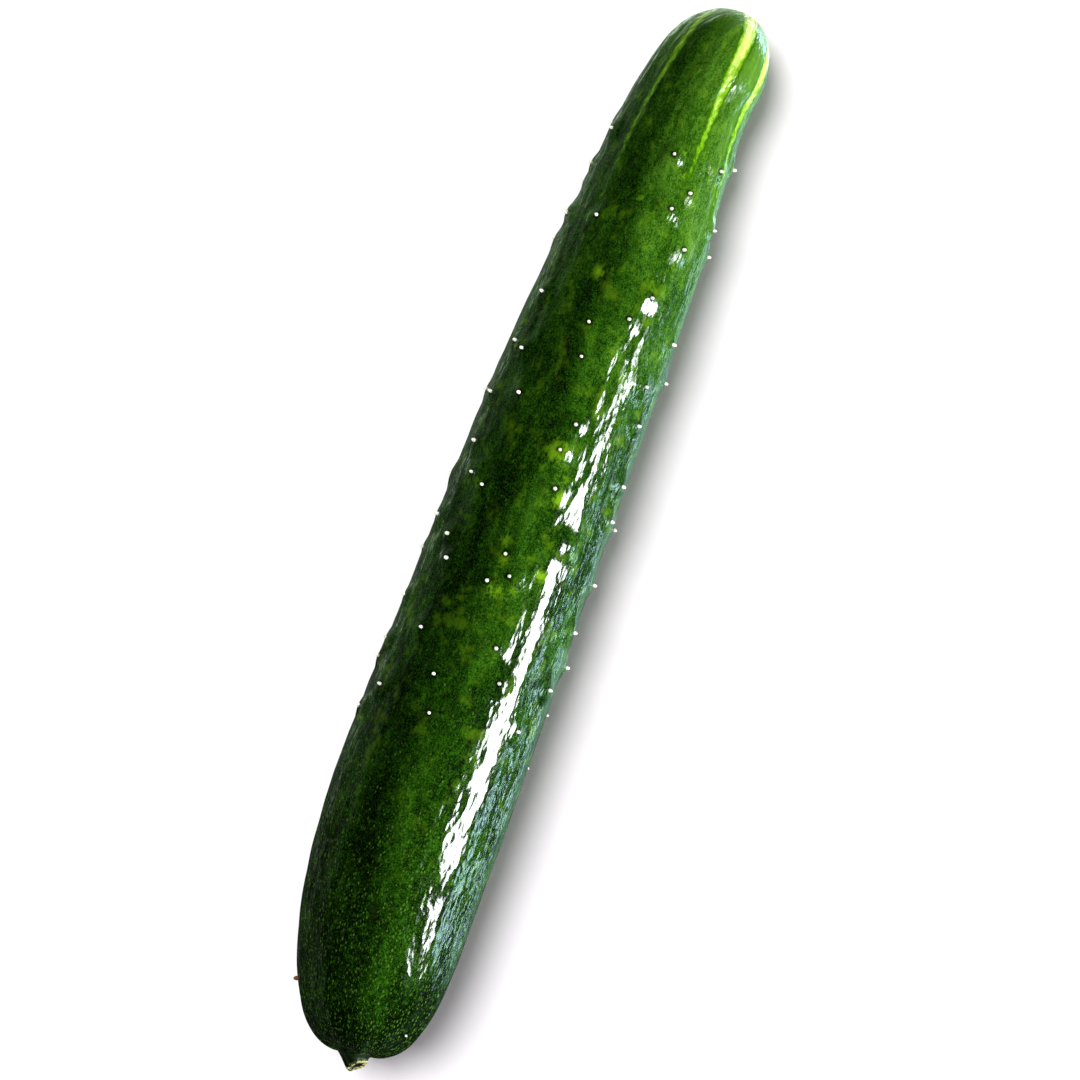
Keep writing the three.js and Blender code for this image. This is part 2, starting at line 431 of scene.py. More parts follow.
@dataclass(frozen=True)
class SkinMarks:
    """The colour marks of the skin that depend on their place: stripes, patches, halos, painted shade round
    the prickles' feet, and tone, which holds painted light on the top and the side towards the window.
    """

    form: FruitForm
    field: WartField
    stripes: tuple[Stripe, ...] = (
        Stripe(-41.5, 2.3, 50, 0.95), Stripe(23.5, 3.3, 44, 1.15), Stripe(61.5, 3.0, 52, 1.1),
        Stripe(98, 2.0, 34, 0.8), Stripe(135, 2.6, 40, 0.95), Stripe(171, 1.9, 30, 0.8),
        Stripe(-154, 2.4, 38, 0.9), Stripe(-118, 1.8, 32, 0.8), Stripe(-78, 1.4, 24, 0.6),
    )
    patches: tuple[Patch, ...] = (
        Patch(73.4, 21, 1.0, 1.0), Patch(66.3, -9, 0.9, 0.8), Patch(62.0, 49, 1.0, 0.8),
        Patch(50.1, -17, 1.6, 0.9), Patch(61.8, -60, 0.8, 0.7), Patch(64.9, -44, 0.8, 0.6),
        Patch(55.3, -42, 0.9, 0.6), Patch(77.6, 13, 0.9, 0.6), Patch(15.5, 3.5, 2.6, 0.95),
        Patch(6.8, 17, 2.1, 0.95), Patch(16.5, -13, 1.0, 0.5), Patch(-7.6, -4, 1.6, 0.7),
        Patch(-8.2, 23, 1.6, 1.0), Patch(-13.9, -2, 2.2, 0.7),
    )
    gather_down: Range = (6.0, 4.5)
    gather_aside: Range = (3.6, 8.0)
    stripe_edge: float = 1.7
    stripe_wander: float = 0.03
    wander_length: float = 7
    wander_turn: float = 2.1
    wander_from: float = 20
    narrowest: float = 0.3
    narrowing: float = 2.5
    faintest: float = 0.66
    fading: float = 3
    fade_rate: float = 2.2
    halo_seed: int = 5
    halo_offset: float = 2.6
    halo_girth: float = 15
    halo_strength: Range = (0.0, 0.75)
    halo_power: float = 1.5
    halo_radius: Range = (0.7, 1.8)
    # How far the painted shade round a prickle's foot reaches, in millimetres.
    painted_shade_radius: float = 0.8
    tone_level: Stations = (
        (-107.2, -0.12), (-95, 0.1), (-75, 0.18), (-48, 0.21), (-19, 0.26), (10, 0.32),
        (39, 0.38), (66, 0.43), (89, 0.44), (101, 0.68), (108.7, 0.95),
    )
    # Painted light: how much lighter the top and the side towards the window are, along the fruit.
    painted_light_step: Stations = (
        (-107.2, 0.02), (-95, 0.08), (-75, 0.13), (-48, 0.17), (-19, 0.18), (10, 0.13),
        (39, 0.12), (66, 0.2), (89, 0.16), (108.7, 0.1),
    )
    # Painted light and shade on the flank towards the window, along the fruit.
    painted_flank_light: Stations = (
        (-107.2, -0.06), (-75, -0.1), (-19, -0.13), (10, -0.1),
        (39, -0.01), (66, 0.17), (89, 0.3), (108.7, 0.25),
    )
    tone_count: int = 6
    tone_turn: float = 8
    tone_swing: float = 0.04
    tone_wander: float = 0.12
    tone_wander_length: float = 23
    # Where round the fruit, in degrees, the painted light on the top and the window side begins and ends,
    # then where the painted flank light is centred and how wide it is.
    painted_light_from: Range = (-20, -3)
    painted_light_to: Range = (150, 110)
    painted_flank_turn: float = 55
    painted_flank_width: float = 30

    def stripe(self, x: Array, angle: Array) -> Array:
        """How strongly a stripe shows, from 0 to 1; the stripes run together a little below the tip.

        Args:
            x: Places along the fruit.
            angle: Angles round it.

        Returns:
            The strength at each place.
        """
        total = np.zeros_like(x)
        from_end = self.form.blossom_end - x
        radius = self.form.radius(x)
        down, down_fade = self.gather_down
        sideways, sideways_fade = self.gather_aside
        up = radius * np.cos(angle) + down * np.exp(-from_end / down_fade)
        aside = radius * np.sin(angle) + sideways * np.exp(-from_end / sideways_fade)
        gathered = np.arctan2(aside, up)
        reach = np.hypot(aside, up)
        for i, stripe in enumerate(self.stripes):
            left = np.clip(1 - from_end / stripe.reach, 0, 1)
            width = stripe.width * (self.narrowest + (1 - self.narrowest) * left**self.narrowing)
            wander = self.stripe_wander * np.sin(x / self.wander_length + self.wander_turn * i)
            wander *= smooth_share(from_end / self.wander_from)
            off = reach * np.abs(wrapped(gathered - math.radians(stripe.degrees) - wander))
            edge = smooth_share((width / 2 - off) / self.stripe_edge + 0.5)
            fade = self.faintest + (1 - self.faintest) * left**self.fading
            fade *= smooth_share(left * self.fade_rate)
            total = np.maximum(total, stripe.strength * edge * fade)
        return total

    def pale(self, x: Array, angle: Array) -> Array:
        """How pale the skin is by patches, and by halos beside the prickles, from 0 to 1.

        Args:
            x: Places along the fruit.
            angle: Angles round it.

        Returns:
            The paleness at each place.
        """
        draw = np.random.default_rng(self.halo_seed)
        total = np.zeros_like(x)
        for patch in self.patches:
            away = distance_on_skin(self.form, x, angle, patch.x, math.radians(patch.degrees))
            total = np.maximum(total, patch.strength * np.exp(-((away / patch.radius) ** 2)))
        for prickle_x, prickle_angle in self.field.prickles():
            turn = draw.uniform(0, 2 * np.pi)
            along = self.halo_offset * math.cos(turn)
            around = self.halo_offset * math.sin(turn) / self.halo_girth
            strength = draw.uniform(*self.halo_strength) ** self.halo_power
            radius = draw.uniform(*self.halo_radius)
            away = distance_on_skin(self.form, x, angle, prickle_x + along, prickle_angle + around)
            total = np.maximum(total, strength * np.exp(-((away / radius) ** 2)))
        return total

    def pit(self, x: Array, angle: Array) -> Array:
        """How strongly painted shade darkens the skin round a prickle's foot, from 0 to 1.

        Args:
            x: Places along the fruit.
            angle: Angles round it.

        Returns:
            The painted shade at each place.
        """
        total = np.zeros_like(x)
        for prickle_x, prickle_angle in self.field.prickles():
            away = distance_on_skin(self.form, x, angle, prickle_x, prickle_angle)
            total = np.maximum(total, np.exp(-((away / self.painted_shade_radius) ** 4)))
        return total

    def tone(self, x: Array, angle: Array) -> Array:
        """The broad dark and light bands that run along the fruit, from 0 to 1, with painted light: the top
        and the side towards the window are painted lighter, and the flank towards the window is painted
        darker over the stem half and lighter towards the tip.

        Args:
            x: Places along the fruit.
            angle: Angles round it.

        Returns:
            The tone at each place.
        """
        wander = self.tone_wander * np.sin(x / self.tone_wander_length)
        degrees = np.degrees(wrapped(angle - wander))
        swing = np.cos(self.tone_count * np.radians(degrees - self.tone_turn))
        # Painted light: the top and the side towards the window lighter, and the flank towards the window
        # painted darker or lighter.
        step = rise(degrees, self.painted_light_from) * rise(degrees, self.painted_light_to)
        flank = np.exp(-(((degrees - self.painted_flank_turn) / self.painted_flank_width) ** 2))
        level = through(self.tone_level, x) + self.tone_swing * swing
        return level + through(self.painted_light_step, x) * step + through(self.painted_flank_light, x) * flank


def placed(name: str, data: bpy.types.ID) -> Piece:
    """A new object that holds some data, linked to the scene.

    Args:
        name: The object's name.
        data: Its mesh, lamp or camera.

    Returns:
        The object.
    """
    made = bpy.data.objects.new(name, data)
    bpy.context.scene.collection.objects.link(made)
    return made


def grown_piece(
    name: str, points: Array, faces: Faces, marks: dict[Mark, Array], material: bpy.types.Material
) -> Piece:
    """A smooth-shaded mesh object at the origin, marked and with its finish.

    Args:
        name: The object's name.
        points: Its points in millimetres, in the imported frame.
        faces: Its faces, as indices of points.
        marks: For each mark, one number or one row of three for each point.
        material: Its finish.

    Returns:
        The new object.
    """
    mesh = bpy.data.meshes.new(name)
    mesh.from_pydata((points * MM).tolist(), [], faces)
    mesh.shade_smooth()
    for mark, values in marks.items():
        kind, key = ("FLOAT_VECTOR", "vector") if values.ndim == 2 else ("FLOAT", "value")
        layer = mesh.attributes.new(mark.value, kind, "POINT")
        layer.data.foreach_set(key, values.astype(np.float32).ravel())
    mesh.materials.append(material)
    return placed(name, mesh)


def ring_faces(rings: int, sides: int) -> Faces:
    """The faces of a closed skin of rings, with a pole before the first ring and one after the last.

    Args:
        rings: How many rings there are.
        sides: How many points each ring has.

    Returns:
        Triangles at the poles and four-sided faces between.
    """
    faces: Faces = []
    last = 1 + rings * sides
    for k in range(sides):
        after = (k + 1) % sides
        faces.append((0, 1 + after, 1 + k))
        top = 1 + (rings - 1) * sides
        faces.append((last, top + k, top + after))
        for ring in range(rings - 1):
            near = 1 + ring * sides
            far = near + sides
            faces.append((near + k, near + after, far + after, far + k))
    return faces


class NodeSketch:
    """Adds and links the nodes of one shader tree."""

    def __init__(self, tree: bpy.types.NodeTree) -> None:
        """Starts on a tree."""
        self.tree = tree

    def feed(self, node: bpy.types.Node, inputs: dict[str | int, object]) -> None:
        """Links a node's inputs to other nodes' sockets, or sets their values.

        Args:
            node: The node.
            inputs: What goes into its sockets, by their names or numbers.
        """
        for name, value in inputs.items():
            if isinstance(value, Pin):
                self.tree.links.new(value, node.inputs[name])
            else:
                node.inputs[name].default_value = value

    def node(self, kind: str, inputs: dict[str | int, object], **settings: object) -> bpy.types.Node:
        """Adds a node.

        Args:
            kind: The node's type.
            inputs: What goes into its sockets.
            **settings: Its other properties.

        Returns:
            The new node.
        """
        made = self.tree.nodes.new(f"ShaderNode{kind}")
        for name, value in settings.items():
            setattr(made, name, value)
        self.feed(made, inputs)
        return made

    def math(self, operation: str, first: Feed, second: Feed) -> Pin:
        """One step of arithmetic on two numbers."""
        return self.node("Math", {0: first, 1: second}, operation=operation).outputs[0]

    def product(self, first: Feed, *others: Feed) -> Pin:
        """The product of several numbers.

        Args:
            first: The first number.
            *others: The other numbers.

        Returns:
            The product's socket.
        """
        for other in others:
            first = self.math("MULTIPLY", first, other)
        return first

    def between(self, value: Feed, ends: Range, levels: Range = (0.0, 1.0)) -> Pin:
        """A number that goes smoothly from one level to another as a value crosses a range."""
        inputs = dict(enumerate((value, *ends, *levels)))
        return self.node("MapRange", inputs, interpolation_type="SMOOTHSTEP").outputs[0]

    def mix(self, share: Feed, first: Pin | Colour, second: Pin | Colour) -> Pin:
        """Two colours in one, with a share of the second."""
        return self.node("Mix", {0: share, 6: first, 7: second}, data_type="RGBA").outputs[2]

    def mark(self, mark: Mark) -> Pin:
        """A number that the mesh holds for each point."""
        return self.node("Attribute", {}, attribute_name=mark.value).outputs["Fac"]

    def stretched(self, place: Pin, stretch: Triple | Pin) -> Pin:
        """A place with each of its three numbers multiplied."""
        return self.node("VectorMath", {0: place, 1: stretch}, operation="MULTIPLY").outputs[0]

    def place(self, stretch: Triple) -> Pin:
        """The place on the unrolled skin, stretched for a texture; it first runs along the piece."""
        held = self.node("Attribute", {}, attribute_name=Mark.PLACE.value).outputs["Vector"]
        return self.stretched(held, stretch)

    def noise(self, place: Pin, detail: float, roughness: Feed) -> Pin:
        """Cloudy noise from 0 to 1, with some finer layers of a given roughness."""
        inputs = {"Vector": place, "Scale": 1.0, "Detail": detail, "Roughness": roughness}
        return self.node("TexNoise", inputs).outputs[0]

    def cells(self, place: Pin) -> bpy.types.bpy_prop_collection:
        """The outputs of a texture of irregular cells."""
        return self.node("TexVoronoi", {"Vector": place, "Scale": 1.0}).outputs

    def fibres(self, along: float, across: float, roughness: float) -> Pin:
        """The shared effect of fibres along a piece: their height, from 0 to 1.

        Args:
            along: How fine they are along the piece.
            across: How fine they are across it.
            roughness: How strong the finer ones are.

        Returns:
            The height's socket.
        """
        inputs = {"Along": along, "Across": across, "Roughness": roughness}
        inputs["Place"] = self.place((1.0, 1.0, 1.0))
        return self.node("Group", inputs, node_tree=fibre_group()).outputs["Height"]

    def bump(self, height: Pin, depth: float, below: Pin | None = None) -> Pin:
        """A layer of relief, which may ride on another.

        Args:
            height: The relief, from 0 to 1.
            depth: What 1 means, in millimetres.
            below: The normal that it rides on, if any.

        Returns:
            The new normal's socket.
        """
        inputs = {"Height": height, "Strength": 1.0, "Distance": depth * MM}
        if below is not None:
            inputs["Normal"] = below
        return self.node("Bump", inputs).outputs[0]

    def ramp(self, value: Pin, colours: tuple[Display, ...], places: tuple[float, ...]) -> Pin:
        """A colour that a number picks from a row of colours.

        Args:
            value: The number, from 0 to 1.
            colours: The row of colours.
            places: Where each stands, from 0 to 1.

        Returns:
            The colour's socket.
        """
        made = self.node("ValToRGB", {0: value})
        elements = made.color_ramp.elements
        for place in places[1:-1]:
            elements.new(place)
        for element, place, colour in zip(elements, places, colours):
            element.position = place
            element.color = linear(colour)
        return made.outputs[0]


def fibre_group() -> bpy.types.NodeTree:
    """The group behind the fibres, built once: noise that is stretched along the piece.

    Returns:
        The group's tree.
    """
    name = "long fibres"
    if name in bpy.data.node_groups:
        return bpy.data.node_groups[name]
    tree = bpy.data.node_groups.new(name, "ShaderNodeTree")
    sockets = {"Place": "Vector", "Along": "Float", "Across": "Float", "Roughness": "Float"}
    for label, kind in sockets.items():
        tree.interface.new_socket(label, in_out="INPUT", socket_type=f"NodeSocket{kind}")
    tree.interface.new_socket("Height", in_out="OUTPUT", socket_type="NodeSocketFloat")
    given = tree.nodes.new("NodeGroupInput").outputs
    sketch = NodeSketch(tree)
    across = {"X": given["Along"], "Y": given["Across"], "Z": given["Across"]}
    place = sketch.stretched(given["Place"], sketch.node("CombineXYZ", across).outputs[0])
    height = sketch.noise(place, 2.0, given["Roughness"])
    sketch.feed(tree.nodes.new("NodeGroupOutput"), {"Height": height})
    return tree


def new_material(name: str) -> tuple[bpy.types.Material, NodeSketch, bpy.types.Node]:
    """A material that is ready to be dressed.

    Args:
        name: The material's name.

    Returns:
        The material, a sketch of its tree, and its surface shader.
    """
    material = bpy.data.materials.new(name)
    material.use_nodes = True
    return material, NodeSketch(material.node_tree), material.node_tree.nodes["Principled BSDF"]


@dataclass(frozen=True)
class SkinFinish:
    """The fruit's waxy green skin.

    A place says how a texture is stretched, a cut says where a mask rises, and a swing is what a texture
    adds to the tone or to a mask. The greens run from dark to light, and so do the stripes' colours.
    """

    greens: tuple[Display, ...] = ((5, 15, 2), (14, 33, 5), (23, 60, 6), (44, 92, 10), (84, 134, 36))
    green_places: tuple[float, ...] = (0.0, 0.14, 0.36, 0.64, 1.0)
    texture_cut: Range = (0.3, 0.7)
    cloud_place: Triple = (0.07, 0.2, 0.2)
    cloud_swing: Range = (-0.14, 0.16)
    mottle_place: Triple = (0.8, 1.1, 1.1)
    mottle_swing: Range = (-0.13, 0.15)
    speck_place: Triple = (3.2, 4.4, 4.4)
    speck_swing: Range = (-0.2, 0.22)
    pale: Display = (128, 182, 24)
    blotch_place: Triple = (0.26, 0.34, 0.34)
    blotch_cut: Range = (0.5, 0.74)
    blotch_share: float = 0.34
    patch_swing: Range = (-0.3, 0.3)
    patch_cut: Range = (0.2, 0.9)
    fleck: Display = (88, 134, 42)
    fleck_place: Triple = (1.2, 2.5, 2.5)
    fleck_size: float = 0.4
    fleck_least: float = 0.5
    fleck_faintest: float = 0.3
    fleck_amount: Range = (0.12, 0.85)
    fleck_cut: Range = (0.0, 0.15)
    fleck_edge: Range = (0.35, 1.0)
    stripes: tuple[Display, ...] = ((56, 108, 8), (126, 186, 22), (218, 246, 124))
    stripe_cuts: tuple[Range, ...] = ((0.1, 0.3), (0.3, 0.65), (0.65, 1.05))
    ragged_cut: Range = (0.25, 0.75)
    ragged_swing: Range = (-0.24, 0.22)
    # The colour of the painted shade round each prickle's foot.
    pit: Display = (3, 14, 2)
    gloss: Range = (0.08, 0.14)
    refraction: float = 1.45
    fibre_fineness: Range = (0.14, 1.1)
    fibre_roughness: float = 0.45
    fibre_depth: float = 0.038
    cell_place: Triple = (0.55, 1.4, 1.4)
    cell_depth: float = 0.052
    grain_place: Triple = (1.6, 3.2, 3.2)
    grain_depth: float = 0.007

    def _flecks(self, sketch: NodeSketch) -> Pin:
        """The mask of the small light flecks: uneven in size and strength, and denser towards the stem.

        Args:
            sketch: The material's tree.

        Returns:
            The mask's socket.
        """
        cells = sketch.cells(sketch.place(self.fleck_place))
        chance = sketch.node("SeparateColor", {0: cells["Color"]}).outputs
        amount = sketch.between(sketch.mark(Mark.SHOULDER), (0.0, 1.0), self.fleck_amount)
        shown = sketch.between(sketch.math("SUBTRACT", amount, chance[0]), self.fleck_cut)
        size = sketch.product(self.fleck_size, sketch.math("ADD", chance[1], self.fleck_least))
        dot = sketch.between(sketch.math("DIVIDE", cells["Distance"], size), self.fleck_edge, (1.0, 0.0))
        strength = sketch.product(chance[2], 1 - self.fleck_faintest)
        return sketch.product(shown, dot, sketch.math("ADD", strength, self.fleck_faintest))

    def _colour(self, sketch: NodeSketch) -> Pin:
        """The skin's colour, from its broad bands down to its flecks, with painted light in its tone and
        painted shade round the prickles' feet.

        Args:
            sketch: The material's tree.

        Returns:
            The colour's socket.
        """
        clouds = sketch.noise(sketch.place(self.cloud_place), 3.0, 0.6)
        mottle = sketch.noise(sketch.place(self.mottle_place), 3.0, 0.7)
        specks = sketch.noise(sketch.place(self.speck_place), 1.0, 0.7)
        textures = (clouds, mottle, specks)
        swings = (self.cloud_swing, self.mottle_swing, self.speck_swing)
        # The tone mark holds painted light on the top and the side towards the window besides the real
        # bands.
        tone = sketch.mark(Mark.TONE_AND_PAINTED_LIGHT)
        for texture, swing in zip(textures, swings):
            tone = sketch.math("ADD", tone, sketch.between(texture, self.texture_cut, swing))
        ground = sketch.ramp(tone, self.greens, self.green_places)
        blotch = sketch.noise(sketch.place(self.blotch_place), 4.0, 0.62)
        off_shoulder = sketch.math("SUBTRACT", 1.0, sketch.mark(Mark.SHOULDER))
        yellowed = sketch.between(blotch, self.blotch_cut, (0.0, self.blotch_share))
        yellowed = sketch.product(yellowed, off_shoulder)
        pale = sketch.mark(Mark.PALE)
        patchy = sketch.math("ADD", pale, sketch.between(mottle, self.texture_cut, self.patch_swing))
        patchy = sketch.product(sketch.between(patchy, self.patch_cut), pale)
        colour = sketch.mix(sketch.math("MAXIMUM", yellowed, patchy), ground, linear(self.pale))
        colour = sketch.mix(self._flecks(sketch), colour, linear(self.fleck))
        ragged = sketch.between(mottle, self.ragged_cut, self.ragged_swing)
        stripe = sketch.math("ADD", sketch.mark(Mark.STRIPE), ragged)
        for cut, shade in zip(self.stripe_cuts, self.stripes):
            colour = sketch.mix(sketch.between(stripe, cut), colour, linear(shade))
        # Painted shade darkens the skin round each prickle's foot.
        return sketch.mix(sketch.mark(Mark.PAINTED_PRICKLE_SHADE), colour, linear(self.pit))

    def material(self) -> bpy.types.Material:
        """Makes the finish.

        Returns:
            The material.
        """
        material, sketch, surface = new_material("waxy green skin")
        grain = sketch.noise(sketch.place(self.grain_place), 2.0, 0.6)
        cells = sketch.cells(sketch.place(self.cell_place))["Distance"]
        normal = sketch.bump(sketch.fibres(*self.fibre_fineness, self.fibre_roughness), self.fibre_depth)
        normal = sketch.bump(cells, self.cell_depth, normal)
        inputs = {
            "Base Color": self._colour(sketch),
            "Roughness": sketch.between(grain, self.texture_cut, self.gloss),
            "Normal": sketch.bump(grain, self.grain_depth, normal),
            "IOR": self.refraction,
        }
        sketch.feed(surface, inputs)
        return material


@dataclass(frozen=True)
class PrickleFinish:
    """The prickles' pale, glassy points, and the brown of a dried one."""

    fresh: Display = (240, 244, 226)
    dried: Display = (112, 66, 30)
    roughness: float = 0.35

    def material(self) -> bpy.types.Material:
        """Makes the finish.

        Returns:
            The material.
        """
        material, sketch, surface = new_material("pale prickle")
        colour = sketch.mix(sketch.mark(Mark.DRY), linear(self.fresh), linear(self.dried))
        sketch.feed(surface, {"Base Color": colour, "Roughness": self.roughness})
        return material


@dataclass(frozen=True)
class StalkFinish:
    """The stalk stub: dark ridged sides, a dry pale rim and a dark pith."""

    side: Display = (34, 62, 22)
    furrow: Display = (12, 28, 8)
    rim: Display = (206, 204, 132)
    pith: Display = (7, 9, 4)
    furrow_cut: Range = (0.35, 0.65)
    rim_place: Triple = (1.6, 1.6, 1.6)
    rim_cut: Range = (0.44, 0.54)
    roughness: float = 0.5
    specular: float = 0.25
    fibre_fineness: Range = (0.4, 1.8)
    fibre_roughness: float = 0.6
    fibre_depth: float = 0.08

    def material(self) -> bpy.types.Material:
        """Makes the finish.

        Returns:
            The material.
        """
        material, sketch, surface = new_material("cut stalk")
        fibres = sketch.fibres(*self.fibre_fineness, self.fibre_roughness)
        side = sketch.mix(sketch.between(fibres, self.furrow_cut), linear(self.furrow), linear(self.side))
        broken = sketch.between(sketch.noise(sketch.place(self.rim_place), 3.0, 0.5), self.rim_cut)
        colour = sketch.mix(sketch.product(sketch.mark(Mark.RIM), broken), side, linear(self.rim))
        inputs = {
            "Base Color": sketch.mix(sketch.mark(Mark.PITH), colour, linear(self.pith)),
            "Roughness": self.roughness,
            "Specular IOR Level": self.specular,
            "Normal": sketch.bump(fibres, self.fibre_depth),
        }
        sketch.feed(surface, inputs)
        return material


@dataclass
class FruitSkin:
    """The fruit's fine skin, in place of its solid."""

    form: FruitForm
    field: WartField
    creases: Creases = field(default_factory=Creases)
    finish: SkinFinish = field(default_factory=SkinFinish)
    sides: int = 232
    gap: float = 0.6
    end_gap: float = 0.16
    gap_growth: float = 0.12
    unrolled_radius: float = 15
    shoulder: Range = (-20, -95)

    def stations(self) -> tuple[Array, Array]:
        """Rings along the fruit, closer together towards its ends.

        Returns:
            The rings' places along the fruit, and the way over the skin to each.
        """
        x, walked = self.form.walk()
        from_end = np.minimum(walked, walked[-1] - walked)
        gap = np.minimum(self.gap, self.end_gap + self.gap_growth * from_end)
        steps = np.concatenate([[0], np.cumsum(np.diff(walked) / gap[1:])])
        count = round(steps[-1])
        wanted = np.arange(1, count) * steps[-1] / count
        return np.interp(wanted, steps, x), np.interp(wanted, steps, walked)

    def build(self, shift: Array) -> Piece:
        """Makes the skin.

        Args:
            shift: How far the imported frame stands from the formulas' own origin.

        Returns:
            The skin, dressed and riding.
        """
        along, walked = self.stations()
        around = np.arange(self.sides) * 2 * np.pi / self.sides
        x = np.concatenate([[self.form.stem_end], np.repeat(along, self.sides), [self.form.blossom_end]])
        angle = np.concatenate([[0], np.tile(around, len(along)), [0]])
        way = np.concatenate([[0], np.repeat(walked, self.sides), [walked[-1] + self.end_gap]])
        height = self.form.ribs(x, angle) + self.field.relief(self.form, x, angle)
        height += self.creases.relief(self.form, x, angle)
        points, _ = self.form.points(x, angle, height)
        points[:, 2] = np.maximum(points[:, 2], 0)
        unrolled = np.stack([way, np.cos(angle), np.sin(angle)], axis=-1)
        unrolled[:, 1:] *= self.unrolled_radius
        marks = SkinMarks(self.form, self.field)
        values = {
            Mark.PLACE: unrolled,
            Mark.SHOULDER: rise(x, self.shoulder),
            Mark.PALE: marks.pale(x, angle),
            # Painted shade round the prickles' feet.
            Mark.PAINTED_PRICKLE_SHADE: marks.pit(x, angle),
            Mark.STRIPE: marks.stripe(x, angle),
            # The tone mark holds painted light on the top and the side towards the window.
            Mark.TONE_AND_PAINTED_LIGHT: marks.tone(x, angle),
        }
        faces = ring_faces(len(along), self.sides)
        piece = grown_piece("fruit_skin", points + shift, faces, values, self.finish.material())
        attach(piece, "root")
        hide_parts("fruit")
        return piece


@dataclass
class Prickles:
    """The fruit's prickles: small blunt points with their feet sunk in the skin."""

    NAME: ClassVar[str] = "prickles"
    form: FruitForm
    field: WartField
    finish: PrickleFinish = field(default_factory=PrickleFinish)
    profile: tuple[Range, ...] = ((0.38, -0.35), (0.41, 0.0), (0.39, 0.25), (0.31, 0.5), (0.18, 0.68))
    height: float = 0.75
    sides: int = 10
    seed: int = 3
    size: Range = (0.8, 1.0)
    dryness: Range = (0.0, 0.12)
    dried: int = 1
    dried_size: float = 1.4
    lone_size: float = 0.65

    def build(self, shift: Array) -> Piece:
        """Makes all the prickles as one piece.

        Args:
            shift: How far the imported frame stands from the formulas' own origin.

        Returns:
            The prickles, dressed and riding.
        """
        draw = np.random.default_rng(self.seed)
        places = self.field.prickles()
        x, angle = places.T
        height = self.form.ribs(x, angle) + self.field.relief(self.form, x, angle)
        feet, normals = self.form.points(x, angle, height)
        first_lone = len(places) - len(self.field.lone_prickles)
        turns = np.arange(self.sides) * 2 * np.pi / self.sides
        points: list[Array] = []
        faces: Faces = []
        dry: list[float] = []
        one = ring_faces(len(self.profile), self.sides)
        for i, (foot, normal) in enumerate(zip(feet, normals)):
            is_dry = first_lone <= i < first_lone + self.dried
            lone_size = self.dried_size if is_dry else self.lone_size
            scale = draw.uniform(*self.size) * (lone_size if i >= first_lone else 1.0)
            side = np.cross(normal, [1.0, 0.0, 0.0])
            side /= np.linalg.norm(side)
            other = np.cross(side, normal)
            outward = np.outer(np.cos(turns), side) + np.outer(np.sin(turns), other)
            rings = [foot + scale * (normal * up + radius * outward) for radius, up in self.profile]
            start = sum(len(group) for group in points)
            base = foot + normal * scale * self.profile[0][1]
            tip = foot + normal * scale * self.height
            points += [base[None], *rings, tip[None]]
            faces += [tuple(start + index for index in face) for face in one]
            dry += [1.0 if is_dry else draw.uniform(*self.dryness)] * (2 + len(self.profile) * self.sides)
        marks = {Mark.DRY: np.array(dry)}
        piece = grown_piece(self.NAME, np.concatenate(points) + shift, faces, marks, self.finish.material())
        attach(piece, "root")
        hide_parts("fruit")
        return piece


